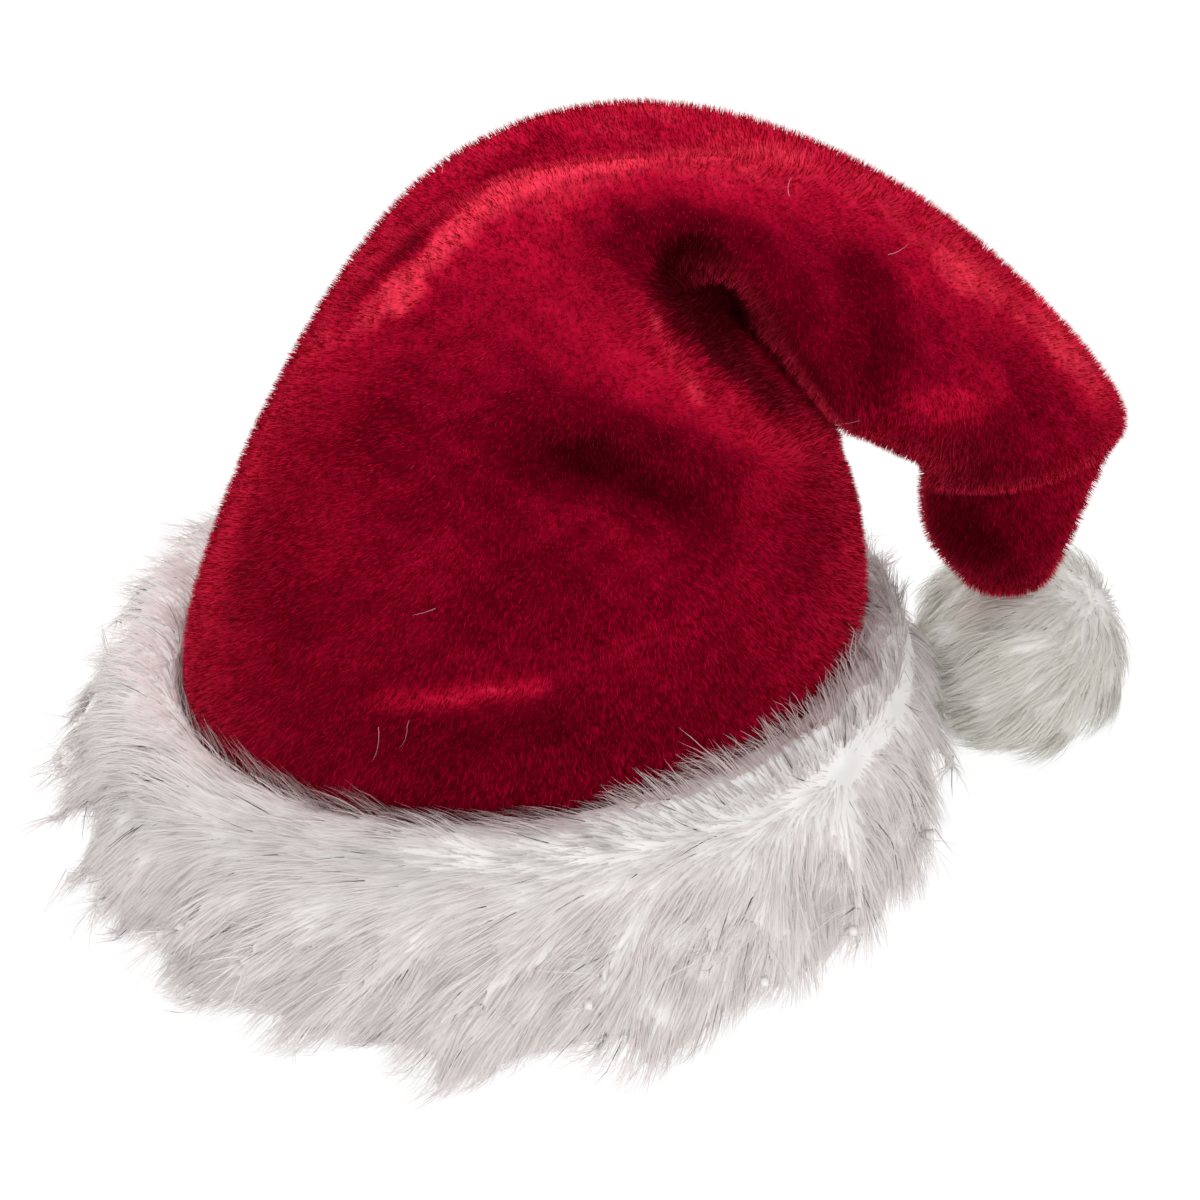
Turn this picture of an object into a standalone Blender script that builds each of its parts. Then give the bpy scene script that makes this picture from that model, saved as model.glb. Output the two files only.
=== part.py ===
"""A plush Santa hat that stands on its fur cuff: a red cone whose top folds over to the right and hangs
down to a white pompom. Metres, +Z up, the wearer's front towards -Y, the tail towards +X."""

import math
import random
from collections import namedtuple

import bmesh
import bpy
import numpy as np
from mathutils import Matrix, Vector

# Driving dimensions
PLUSH_WALL = 0.003
SEWN_GAP = 0.0005
CROWN_SIDES = 36
TIP_ROUNDING = 0.005

# The crown is lofted through these sections. Each spans from the outer point, on the left and top of the hat,
# to the inner point, on its right and under the tail. front and back are its half depths, boxy is how square
# its outer half is, valley is how deep its outer edge is folded in between two ridges, and rings is how many
# rings are lofted from it to the next.
Section = namedtuple(
    "Section",
    "name outer_x outer_y outer_z inner_x inner_y inner_z front back boxy valley rings",
)
CROWN_SECTIONS = (
    Section("hem", -0.097, -0.008, 0.010, 0.110, 0.020, 0.010, 0.079, 0.078, 2.0, 0.000, 1),
    Section("cuff_top", -0.100, -0.006, 0.072, 0.111, 0.020, 0.082, 0.080, 0.078, 2.0, 0.000, 2),
    Section("waist", -0.093, 0.002, 0.110, 0.109, 0.014, 0.112, 0.079, 0.074, 2.1, 0.004, 2),
    Section("chest", -0.077, 0.010, 0.151, 0.105, 0.006, 0.132, 0.076, 0.068, 2.2, 0.012, 2),
    Section("shoulder", -0.055, 0.016, 0.191, 0.101, 0.000, 0.142, 0.070, 0.064, 2.35, 0.018, 2),
    Section("collar", -0.031, 0.019, 0.221, 0.099, -0.001, 0.148, 0.064, 0.060, 2.4, 0.022, 2),
    Section("neck", -0.003, 0.021, 0.239, 0.099, 0.001, 0.152, 0.058, 0.055, 2.4, 0.023, 4),
    Section("elbow", 0.028, 0.022, 0.247, 0.100, 0.004, 0.155, 0.042, 0.050, 2.4, 0.020, 3),
    Section("tail_root", 0.059, 0.021, 0.247, 0.101, 0.007, 0.155, 0.034, 0.043, 2.3, 0.012, 2),
    Section("tail_top", 0.089, 0.020, 0.239, 0.104, 0.010, 0.152, 0.031, 0.036, 2.1, 0.005, 2),
    Section("tail_arch", 0.115, 0.021, 0.223, 0.109, 0.013, 0.148, 0.029, 0.030, 2.0, 0.000, 2),
    Section("tail_belly", 0.143, 0.027, 0.200, 0.117, 0.015, 0.142, 0.030, 0.026, 2.0, 0.000, 2),
    Section("tail_lip", 0.171, 0.033, 0.170, 0.125, 0.020, 0.135, 0.029, 0.023, 2.0, 0.000, 2),
    Section("tail_corner", 0.189, 0.038, 0.144, 0.129, 0.026, 0.127, 0.028, 0.018, 2.0, 0.000, 2),
    Section("tip_root", 0.190, 0.042, 0.128, 0.130, 0.034, 0.114, 0.009, 0.016, 2.0, 0.000, 1),
    Section("tip_waist", 0.185, 0.046, 0.103, 0.133, 0.040, 0.096, 0.012, 0.014, 2.0, 0.000, 2),
    Section("tip_end", 0.181, 0.047, 0.084, 0.142, 0.044, 0.080, 0.012, 0.012, 2.0, 0.000, 2),
    Section("tip_seat", 0.177, 0.049, 0.070, 0.152, 0.047, 0.068, 0.008, 0.009, 2.0, 0.000, 1),
)
VALLEY_HALF_WIDTH = 0.016

# Folds and dents pressed into the crown. section and angle say where, counted along the table above and in
# degrees from the outer point by the front. before and after are its half sizes in sections on either side of
# it, degrees its half size round the crown, and depth goes inwards.
Fold = namedtuple("Fold", "name section angle before after degrees depth")
CROWN_FOLDS = (
    Fold("pocket", 6.80, 136, 0.34, 0.75, 38, 0.033),
    Fold("pocket_mouth", 6.66, 87, 0.40, 0.85, 25, 0.036),
    Fold("front_dent", 4.45, 104, 0.50, 0.45, 21, 0.006),
    Fold("low_crease", 2.00, 76, 0.20, 0.20, 16, 0.002),
    Fold("tail_dent", 9.30, 74, 0.55, 0.60, 24, 0.005),
    Fold("tail_swell", 11.0, 96, 0.70, 0.70, 26, -0.003),
)

# The cuff's outline at angles counted as on the crown. thick is its reach from the crown's wall and wall_top
# its height there, roll_out and roll_top the place of its rounded upper edge, and foot the share of its reach
# left at the floor. comb is how far its fur is swept sideways, to the hat's left where it is above 0, and brow
# how far the fur on its upper edge stands up.
Cuff = namedtuple("Cuff", "name angle thick wall_top roll_out roll_top foot comb brow")
CUFF_STATIONS = (
    Cuff("left", 0, 0.031, 0.074, 0.012, 0.074, 0.88, 0.2, -0.8),
    Cuff("front_left", 45, 0.029, 0.073, 0.010, 0.073, 0.92, 0.8, -0.5),
    Cuff("front", 90, 0.027, 0.078, 0.010, 0.075, 0.93, 0.8, 0.4),
    Cuff("front_right", 135, 0.025, 0.092, 0.011, 0.081, 0.92, 0.5, 1.0),
    Cuff("right", 180, 0.023, 0.099, 0.011, 0.088, 0.88, 0.2, 1.0),
    Cuff("back_right", 225, 0.026, 0.093, 0.011, 0.086, 0.90, 0.5, 1.0),
    Cuff("back", 270, 0.029, 0.084, 0.012, 0.084, 0.92, 0.6, 0.5),
    Cuff("back_left", 315, 0.035, 0.086, 0.019, 0.094, 0.92, 0.6, -0.2),
)
CUFF_COLUMNS = 48

# Rows of fur locks round the cuff. height is their root's share of the cuff's height, rise how far they are
# combed up, or down below 0, or 0 where the cuff's table says, and lift how far they stand off.
LockRow = namedtuple("LockRow", "name count first height length width rise lift")
CUFF_LOCKS = (
    LockRow("skirt", 28, 0.0, 0.40, 0.038, 0.0105, -0.90, 0.0045),
    LockRow("belly", 27, 0.5, 0.76, 0.042, 0.0105, -0.80, 0.0050),
    LockRow("brow", 24, 0.2, 0.99, 0.028, 0.0085, 0.00, 0.0022),
)
# Single longer tufts, which spread on the floor. height is their root's, as above.
Tuft = namedtuple("Tuft", "name angle height length width rise lift")
CUFF_TUFTS = (
    Tuft("front_tuft", 84, 0.22, 0.040, 0.0150, -0.60, 0.0090),
    Tuft("side_tuft", 108, 0.20, 0.030, 0.0140, -0.60, 0.0080),
)
LOCK_SIDES = 4
LOCK_THICKNESS = 0.40

POMPOM_CENTRE = Vector((0.175, 0.060, 0.0345))
POMPOM_BACKING = 0.0345
POMPOM_SEGMENTS = 16
POMPOM_RINGS = 9
POMPOM_LOCKS = 28
POMPOM_LOCK_LENGTH = 0.032
POMPOM_LOCK_WIDTH = 0.0100
POMPOM_LOCK_LIFT = 0.0045
POMPOM_COMB = Vector((-0.75, -0.15, -0.65))

Material = namedtuple("Material", "name color roughness")
RED_PLUSH = Material("red_plush", (0.42, 0.0, 0.012, 1.0), 0.9)
WHITE_FUR = Material("white_fur", (0.86, 0.84, 0.82, 1.0), 0.85)


def clear_scene():
    for obj in list(bpy.data.objects):
        bpy.data.objects.remove(obj)


def material_of(spec):
    made = bpy.data.materials.get(spec.name) or bpy.data.materials.new(spec.name)
    made.use_nodes = True
    shader = made.node_tree.nodes["Principled BSDF"]
    shader.inputs["Base Color"].default_value = spec.color
    shader.inputs["Roughness"].default_value = spec.roughness
    return made


def mesh_object(name, points, faces, spec=None):
    mesh = bpy.data.meshes.new(name)
    mesh.from_pydata([tuple(p) for p in points], [], faces)
    mesh.shade_smooth()
    if spec:
        mesh.materials.append(material_of(spec))
    obj = bpy.data.objects.new(name, mesh)
    bpy.context.scene.collection.objects.link(obj)
    return obj


def smooth_blend(before, a, b, after, u):
    """The point a share u of the way from a to b on the smooth curve through four even steps."""
    even = 2 * a + (b - before) * u + (2 * before - 5 * a + 4 * b - after) * u**2
    return 0.5 * (even + (3 * a - before - 3 * b + after) * u**3)


def section_at(t):
    rows = np.array([s[1:] for s in CROWN_SECTIONS])
    last = len(rows) - 1
    k = min(int(t), last - 1)
    near = (rows[min(max(i, 0), last)] for i in (k - 1, k, k + 1, k + 2))
    return Section("between", *smooth_blend(*near, t - k))


def cuff_at(angle):
    rows = np.array([s[2:] for s in CUFF_STATIONS])
    t = (angle % 360) / 360 * len(rows)
    near = (rows[(int(t) + i) % len(rows)] for i in (-1, 0, 1, 2))
    return Cuff("between", angle, *smooth_blend(*near, t - int(t)))


def bell(distance, half_size):
    return math.exp(-((distance / half_size) ** 2))


def fold_depth(fold, t, angle):
    past = t - fold.section
    along = bell(past, fold.after if past > 0 else fold.before)
    return fold.depth * along * bell(angle - fold.angle, fold.degrees)


def crown_point(t, angle, grow=0.0):
    """The crown's surface point at t along the sections and angle round them, moved out by grow."""
    s = section_at(t)
    outer = Vector((s.outer_x, s.outer_y, s.outer_z))
    inner = Vector((s.inner_x, s.inner_y, s.inner_z))
    across = (outer - inner).normalized()
    back = (Vector((0, 1, 0)) - across * across.y).normalized()
    turn = math.radians(angle)
    depth = s.front if math.sin(turn) > 0 else s.back
    power = 2 / s.boxy if math.cos(turn) > 0 else 1
    p = (outer - inner).length / 2 * math.copysign(abs(math.cos(turn)) ** power, math.cos(turn))
    q = -depth * math.copysign(abs(math.sin(turn)) ** power, math.sin(turn))
    if math.cos(turn) > 0:
        p -= s.valley * bell(q, VALLEY_HALF_WIDTH)
    inwards = sum(fold_depth(fold, t, angle) for fold in CROWN_FOLDS)
    reach = math.hypot(p, q)
    scale = 1 + (grow - inwards) / reach
    return (outer + inner) / 2 + (across * p + back * q) * scale


def crown_rings(grow=0.0):
    """The crown's rings from the hem to the tip, with as many between two sections as the table says."""
    places = [k + i / s.rings for k, s in enumerate(CROWN_SECTIONS[:-1]) for i in range(s.rings)]
    places.append(len(CROWN_SECTIONS) - 1)
    return [[crown_point(t, 360 * i / CROWN_SIDES, grow) for i in range(CROWN_SIDES)] for t in places]


def lofted(rings, start_pole=None, end_pole=None):
    """Points and faces of a skin through rings of equal count, with a pole before and after them if given."""
    sides = len(rings[0])
    points = [p for ring in rings for p in ring]
    faces = []
    for k in range(len(rings) - 1):
        for i in range(sides):
            j = (i + 1) % sides
            faces.append((k * sides + i, k * sides + j, (k + 1) * sides + j, (k + 1) * sides + i))
    if end_pole is not None:
        last = (len(rings) - 1) * sides
        faces += [(last + i, last + (i + 1) % sides, len(points)) for i in range(sides)]
        points.append(end_pole)
    if start_pole is not None:
        faces += [((i + 1) % sides, i, len(points)) for i in range(sides)]
        points.append(start_pole)
    return points, faces


def middle(ring):
    return sum(ring, Vector()) / len(ring)


def tip_pole(rings, past):
    ahead = (middle(rings[-1]) - middle(rings[-3])).normalized()
    return middle(rings[-1]) + ahead * past


def crown():
    rings = crown_rings()
    obj = mesh_object("crown", *lofted(rings, end_pole=tip_pole(rings, TIP_ROUNDING)), RED_PLUSH)
    wall = obj.modifiers.new("wall", "SOLIDIFY")
    wall.thickness = PLUSH_WALL
    wall.offset = -1
    return obj


def crown_room():
    """A cutter the size of the crown and its sewn gap, reaching below the floor, to seat the fur pieces on it."""
    rings = crown_rings(SEWN_GAP)
    below = [Vector((p.x, p.y, -0.02)) for p in rings[0]]
    rings.insert(0, below)
    end = tip_pole(rings, TIP_ROUNDING + SEWN_GAP)
    return mesh_object("crown_room", *lofted(rings, middle(below), end))


def floor_cutter():
    block = bmesh.new()
    bmesh.ops.create_cube(block, size=1.0, matrix=Matrix.Translation((0.0, 0.0, -0.5)))
    mesh = bpy.data.meshes.new("floor_cutter")
    block.to_mesh(mesh)
    block.free()
    obj = bpy.data.objects.new("floor_cutter", mesh)
    bpy.context.scene.collection.objects.link(obj)
    return obj


def lock(path, flat, width):
    """A closed pointed lock of fur along path: flat is the way its thin side faces."""
    shares = (0.75, 1.0, 0.72)
    rings = []
    for k, share in enumerate(shares):
        along = (path[k + 1] - path[max(k - 1, 0)]).normalized()
        side = along.cross(flat).normalized()
        thin = side.cross(along).normalized()
        ring = []
        for i in range(LOCK_SIDES):
            turn = 2 * math.pi * i / LOCK_SIDES
            across = side * math.cos(turn) + thin * math.sin(turn) * LOCK_THICKNESS
            ring.append(path[k] + across * width * share)
        rings.append(ring)
    return lofted(rings, path[0] - (path[1] - path[0]) * 0.2, path[-1])


def fused(name, base, locks, cutters):
    """One closed body: the base with every lock joined to it and the cutters' shapes taken away."""
    body = mesh_object(name, *base, WHITE_FUR)
    for points, faces in locks:
        tuft = mesh_object("lock", points, faces)
        combine(body, tuft, "UNION")
        bpy.data.objects.remove(tuft)
    for cutter in cutters:
        combine(body, cutter, "DIFFERENCE")
    keep_outer_skin(body.data)
    return body


def keep_outer_skin(mesh):
    """Fills the small voids left between locks, by dropping every skin but the largest."""
    work = bmesh.new()
    work.from_mesh(mesh)
    waiting = set(work.faces)
    skins = []
    while waiting:
        skin = []
        front = [waiting.pop()]
        while front:
            face = front.pop()
            skin.append(face)
            beside = {near for edge in face.edges for near in edge.link_faces} & waiting
            waiting -= beside
            front.extend(beside)
        skins.append(skin)
    skins.sort(key=len)
    for skin in skins[:-1]:
        bmesh.ops.delete(work, geom=skin, context="FACES")
    work.to_mesh(mesh)
    work.free()


def combine(body, other, operation):
    step = body.modifiers.new("combine", "BOOLEAN")
    step.operation = operation
    step.object = other
    bpy.context.view_layer.update()
    result = bpy.data.meshes.new_from_object(body.evaluated_get(bpy.context.evaluated_depsgraph_get()))
    body.modifiers.clear()
    body.data = result


def cuff_frame(angle):
    """The crown's wall point at the cuff for this angle, with the way out from it and the way round."""
    here, ahead = crown_point(0.5, angle), crown_point(0.5, angle + 2)
    round_way = Vector((ahead.x - here.x, ahead.y - here.y, 0)).normalized()
    return Vector((here.x, here.y, 0)), Vector((0, 0, 1)).cross(round_way) * -1, round_way


def cuff_profile(c):
    """The cuff's section as (out, up) pairs, from the floor at the wall over the roll to the floor outside."""
    return (
        (-0.002, 0.0),
        (-0.002, c.wall_top * 0.5),
        (-0.003, c.wall_top - 0.001),
        (0.003, c.wall_top),
        (c.roll_out, c.roll_top),
        (c.thick * 0.72, c.roll_top * 0.92),
        (c.thick * 0.92, c.roll_top * 0.74),
        (c.thick, c.roll_top * 0.50),
        (c.thick * 0.99, c.roll_top * 0.26),
        (c.thick * 0.96, c.roll_top * 0.08),
        (c.thick * c.foot, 0.0),
    )


def cuff_surface(angle, height):
    """The cuff at angle, and its outer face at a share of its height: the point, the way out and sideways."""
    c = cuff_at(angle)
    wall, out_way, round_way = cuff_frame(angle)
    outer = cuff_profile(c)[:3:-1]
    ups = [up for _, up in outer]
    outs = [out for out, _ in outer]
    up = height * c.roll_top
    out, below, above = (float(np.interp(up + step, ups, outs)) for step in (0, -0.004, 0.004))
    facing = Vector((0.008, below - above)).normalized()
    face = out_way * facing.x + Vector((0, 0, facing.y))
    left = -1 if math.sin(math.radians(angle)) > 0 else 1
    return c, wall + out_way * out + Vector((0, 0, up)), face, round_way * left


def cuff_lock(tuft, angle, height, size):
    c, place, face, sideways = cuff_surface(angle, height)
    comb = sideways * c.comb + Vector((0, 0, tuft.rise or c.brow))
    comb = (comb - face * comb.dot(face)).normalized()
    path = []
    for share, lift in ((0, -0.7), (0.35, 0.3), (0.7, 1.0), (1, 1.2)):
        path.append(place + comb * tuft.length * size * share + face * tuft.lift * lift)
    return lock(path, face, tuft.width * size)


def cuff_locks():
    draw = random.Random(11)
    made = []
    for row in CUFF_LOCKS:
        for i in range(row.count):
            angle = 360 * (i + row.first + draw.uniform(-0.2, 0.2)) / row.count
            made.append(cuff_lock(row, angle, row.height + draw.uniform(-0.04, 0.04), draw.uniform(0.85, 1.15)))
    return made + [cuff_lock(tuft, tuft.angle, tuft.height, 1.0) for tuft in CUFF_TUFTS]


def fur_cuff(cutters):
    rings = []
    for i in range(CUFF_COLUMNS):
        angle = 360 * i / CUFF_COLUMNS
        wall, out_way, _ = cuff_frame(angle)
        rings.append([wall + out_way * out + Vector((0, 0, up)) for out, up in cuff_profile(cuff_at(angle))])
    points, faces = lofted(rings + rings[:1])
    sides = len(rings[0])
    whole = len(rings) * sides
    faces = [tuple(v % whole for v in face) for face in faces]
    return fused("fur_cuff", (points[:whole], faces), cuff_locks(), cutters)


def spread_directions(count):
    """Directions spread evenly over a ball."""
    golden = math.pi * (3 - math.sqrt(5))
    ups = [1 - 2 * (i + 0.5) / count for i in range(count)]
    return [
        Vector((math.sqrt(1 - up * up) * math.cos(golden * i), math.sqrt(1 - up * up) * math.sin(golden * i), up))
        for i, up in enumerate(ups)
    ]


def pompom(cutters):
    backing = bmesh.new()
    bmesh.ops.create_uvsphere(
        backing, u_segments=POMPOM_SEGMENTS, v_segments=POMPOM_RINGS, radius=POMPOM_BACKING
    )
    points = [POMPOM_CENTRE + v.co for v in backing.verts]
    faces = [tuple(v.index for v in face.verts) for face in backing.faces]
    backing.free()
    draw = random.Random(5)
    locks = []
    for way in spread_directions(POMPOM_LOCKS):
        comb = (POMPOM_COMB - way * POMPOM_COMB.dot(way)).normalized()
        length = POMPOM_LOCK_LENGTH * draw.uniform(0.85, 1.15)
        path = []
        for share, lift in ((0, -0.9), (0.35, 0.1), (0.7, 0.7), (1, 0.9)):
            ray = (way * POMPOM_BACKING + comb * length * share).normalized()
            path.append(POMPOM_CENTRE + ray * (POMPOM_BACKING + POMPOM_LOCK_LIFT * lift))
        locks.append(lock(path, way, POMPOM_LOCK_WIDTH * draw.uniform(0.85, 1.15)))
    return fused("pompom", (points, faces), locks, cutters)


def settle(objects):
    """Moves the finished meshes so that the middle of the hat's bottom is at the origin."""
    bpy.context.view_layer.update()
    graph = bpy.context.evaluated_depsgraph_get()
    points = np.array([v.co for obj in objects for v in obj.evaluated_get(graph).data.vertices])
    low, high = points.min(axis=0), points.max(axis=0)
    shift = Matrix.Translation((-(low[0] + high[0]) / 2, -(low[1] + high[1]) / 2, -low[2]))
    for obj in objects:
        obj.data.transform(shift)
    return shift.translation


clear_scene()
cone = crown()
room = crown_room()
floor = floor_cutter()
OFFSET_USED = settle([cone, fur_cuff([room, floor]), pompom([room, floor])])
for helper in (room, floor):
    bpy.data.objects.remove(helper)
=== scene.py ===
"""The looks of a plush Santa hat: red pile on the cone, long white fur on the cuff and the pompom, a pale
studio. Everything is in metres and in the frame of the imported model."""

import math
from collections import namedtuple

import bmesh
import bpy
import numpy as np
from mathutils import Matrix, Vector
from mathutils.bvhtree import BVHTree
from mathutils.kdtree import KDTree


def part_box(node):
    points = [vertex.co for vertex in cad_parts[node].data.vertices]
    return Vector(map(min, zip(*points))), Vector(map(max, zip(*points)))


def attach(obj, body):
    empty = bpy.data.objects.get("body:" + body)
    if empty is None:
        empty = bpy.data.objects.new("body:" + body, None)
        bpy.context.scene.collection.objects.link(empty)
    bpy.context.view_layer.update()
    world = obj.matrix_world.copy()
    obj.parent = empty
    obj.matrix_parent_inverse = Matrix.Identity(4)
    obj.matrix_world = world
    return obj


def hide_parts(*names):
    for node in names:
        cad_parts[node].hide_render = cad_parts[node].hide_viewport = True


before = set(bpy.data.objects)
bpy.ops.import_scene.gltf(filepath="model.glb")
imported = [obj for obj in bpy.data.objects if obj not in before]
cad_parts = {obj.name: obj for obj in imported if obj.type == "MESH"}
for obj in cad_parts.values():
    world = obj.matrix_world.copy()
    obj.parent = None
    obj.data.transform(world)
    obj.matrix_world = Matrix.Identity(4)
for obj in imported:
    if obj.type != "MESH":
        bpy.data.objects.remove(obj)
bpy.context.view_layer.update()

UP = np.array([0.0, 0.0, 1.0])
FLOOR_CLEARANCE = 0.0004

# The camera: the photo's angle above the floor, and its field of view
CAMERA_ELEVATION = math.radians(36.0)
CAMERA_DISTANCE = 0.70
CAMERA_TARGET = Vector((-0.0026, -0.0048, 0.096))
CAMERA_LENS = 68.4

# The lights: place, watts and size of each
Lamp = namedtuple("Lamp", "name place power size")
LAMPS = (
    Lamp("key", (-0.40, 0.40, 1.25), 10.5, 0.7),
    Lamp("fill", (0.35, -1.20, 0.75), 12.4, 1.2),
)
WORLD_STRENGTH = 0.56

# The floor glows like the lit sheet of a photo table, and takes only a faint shadow
FLOOR_LEVEL = 0.12
FLOOR_GLOW = 0.92

# A smooth random drift over a surface: the size of its features, its strength and its seed
Drift = namedtuple("Drift", "size strength seed")

# The crown's cloth and its pile
CLOTH_INSET = 0.0008
CLOTH_ROUNDING = 2
PLACES_KEPT = 0.85
HEM_RIM_Z = 0.0106
PILE_LOWEST_Z = 0.060
PILE_PIECES = 2
PILE_STRANDS = 105000
PILE_LENGTH = 0.0026
PILE_HALF_WIDTH = 0.00017
PILE_LEAN = 0.30
PILE_COMB = (-0.45, -0.1, -0.85)
PILE_DRIFTS = (Drift(0.055, 0.55, 3), Drift(0.012, 0.30, 4))
PILE_SPREAD = 0.20
PILE_SHADE_SPREAD = 0.14
PILE_LENGTHS = (0.75, 1.15)
PILE_ROOT_DEPTH = 0.0003

# How bright the pile is painted: its usual level, its random drift in tone, and painted light where it faces up
# and painted shade where it faces down
PILE_TONE_USUAL = 0.5
PILE_TONE_DRIFTS = (Drift(0.045, 0.06, 7), Drift(0.010, 0.04, 8))
HIGHLIGHT_MOTTLE = Drift(0.008, 0.40, 9)
PAINTED_TOP_LIGHT = 0.26
PAINTED_UNDER_SHADE = 0.12

# Painted shade and painted highlights on the pile: shade in the dent, the pocket, the valley and under the tail
# and its lip, highlights along the ridge crests, the tail's edge, a patch on the tail and the crease in the nap;
# darker under 0, brighter over 0
PaintedPatch = namedtuple("PaintedPatch", "name start end radius change")
PAINTED_PATCHES = (
    PaintedPatch("dent", (-0.014, -0.0585, 0.184), (0.028, -0.056, 0.161), 0.0085, -0.13),
    PaintedPatch("dent_round", (0.000, -0.0585, 0.178), (0.020, -0.058, 0.168), 0.017, -0.09),
    PaintedPatch("crease", (-0.064, -0.070, 0.108), (-0.019, -0.075, 0.1166), 0.0030, 0.26),
    PaintedPatch("crease_under", (-0.058, -0.073, 0.099), (-0.012, -0.077, 0.105), 0.0060, -0.06),
    PaintedPatch("tail_patch", (0.086, -0.016, 0.170), (0.106, -0.012, 0.175), 0.0100, 0.24),
    PaintedPatch("tail_dent", (0.070, -0.011, 0.212), (0.077, -0.017, 0.178), 0.0080, -0.14),
    PaintedPatch("tail_root", (0.043, -0.018, 0.198), (0.056, -0.020, 0.182), 0.0120, -0.13),
    PaintedPatch("tail_edge", (0.0984, 0.0009, 0.2063), (0.1316, 0.0117, 0.1778), 0.0070, 0.24),
    PaintedPatch("tail_end", (0.1316, 0.0117, 0.1778), (0.1461, 0.0141, 0.1595), 0.0070, 0.24),
    PaintedPatch("tip_shade", (0.1045, 0.004, 0.1340), (0.115, 0.026, 0.098), 0.0180, -0.24),
    PaintedPatch("pocket_top", (0.0245, -0.0149, 0.2207), (0.0210, -0.0074, 0.2044), 0.0065, -0.42),
    PaintedPatch("pocket_middle", (0.0210, -0.0074, 0.2044), (0.0307, -0.0184, 0.1932), 0.0095, -0.62),
    PaintedPatch("pocket_low", (0.0307, -0.0184, 0.1932), (0.0451, -0.0197, 0.1780), 0.0075, -0.55),
    PaintedPatch("pocket_end", (0.0451, -0.0197, 0.1780), (0.0544, -0.0145, 0.1682), 0.0040, -0.20),
    PaintedPatch("pocket_left", (0.0180, -0.0150, 0.2150), (0.0190, -0.0230, 0.2030), 0.0065, -0.50),
    PaintedPatch("pocket_far", (0.0254, -0.003, 0.200), (0.0354, -0.0026, 0.1987), 0.0120, -0.45),
    PaintedPatch("pocket_rim", (0.0115, -0.018, 0.216), (0.0130, -0.0290, 0.2050), 0.0026, 0.22),
    PaintedPatch("pocket_rim_low", (0.0130, -0.0290, 0.2050), (0.0235, -0.0440, 0.1919), 0.0026, 0.22),
    PaintedPatch("ridge_low", (-0.1135, 0.0000, 0.125), (-0.0950, -0.0060, 0.160), 0.0075, 0.36),
    PaintedPatch("ridge_middle", (-0.0950, -0.0060, 0.160), (-0.0560, -0.0300, 0.2166), 0.0055, 0.44),
    PaintedPatch("ridge_high", (-0.0560, -0.0300, 0.2166), (-0.0240, -0.0115, 0.2398), 0.0052, 0.46),
    PaintedPatch("ridge_top", (-0.0240, -0.0115, 0.2398), (0.0501, 0.0132, 0.2355), 0.0055, 0.44),
    PaintedPatch("valley_low", (-0.0727, -0.0200, 0.2060), (-0.0529, -0.0190, 0.2250), 0.0055, -0.28),
    PaintedPatch("valley_high", (-0.0529, -0.0190, 0.2250), (-0.0388, -0.0080, 0.2350), 0.0055, -0.28),
    PaintedPatch("lobe_foot", (-0.0310, 0.0248, 0.2249), (-0.0174, 0.0296, 0.2325), 0.0060, -0.12),
)

# Loose white hairs on the red pile
STRAY_HAIRS = 8
STRAY_LENGTH = 0.008
STRAY_HEIGHT = 0.0026
STRAY_HALF_WIDTH = 0.00007
STRAY_LOWEST_Z = 0.100
STRAY_STEPS = 9
STRAY_LONGER = 2.2
STRAY_PLACES = ((-0.0640, -0.0700, 0.1010), (-0.0620, -0.0710, 0.0960), (-0.0560, -0.0710, 0.1040))

# The white fur
FUR_VOXEL = 0.003
FUR_INSET = 0.0020
FUR_SMOOTHING = 18
TUFTS_MIDDLE = 97.0
TUFTS_WIDTH = 30.0
TUFTS_TOP_Z = 0.050
TUFTS_KEPT = 0.6
CUFF_PIECES = 2
CUFF_STRANDS = 18000
CUFF_UNDER_STRANDS = 45000
POMPOM_STRANDS = 9000
POMPOM_UNDER_STRANDS = 12000
FUR_HALF_WIDTH = 0.00018
UNDER_HALF_WIDTH = 0.00030
UNDER_SHARE = 0.30
ROOT_DEPTH = 0.0010
UNDER_ROOT_DEPTH = 0.0008
CROWN_CLEARANCE = 0.0026

# Fur grows no nearer to the crown than this, and none on the cuff's underside or on its inner side
FUR_CROWN_GAP = 0.0035
UNDERSIDE_Z = 0.010
INNER_SIDE_Z = 0.066

# The crown's wall at the cuff, as an ellipse, and the height of the cuff's rolled edge by angle
CROWN_MIDDLE = np.array([-0.0256, 0.0012, 0.0])
CROWN_HALF = np.array([0.1045, 0.0795])
Roll = namedtuple("Roll", "name angle top")
ROLL_TOPS = (
    Roll("left", 0, 0.074),
    Roll("front_left", 45, 0.073),
    Roll("front", 90, 0.075),
    Roll("front_right", 135, 0.081),
    Roll("right", 180, 0.088),
    Roll("back_right", 225, 0.086),
    Roll("back", 270, 0.084),
    Roll("back_left", 315, 0.094),
)

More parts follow.
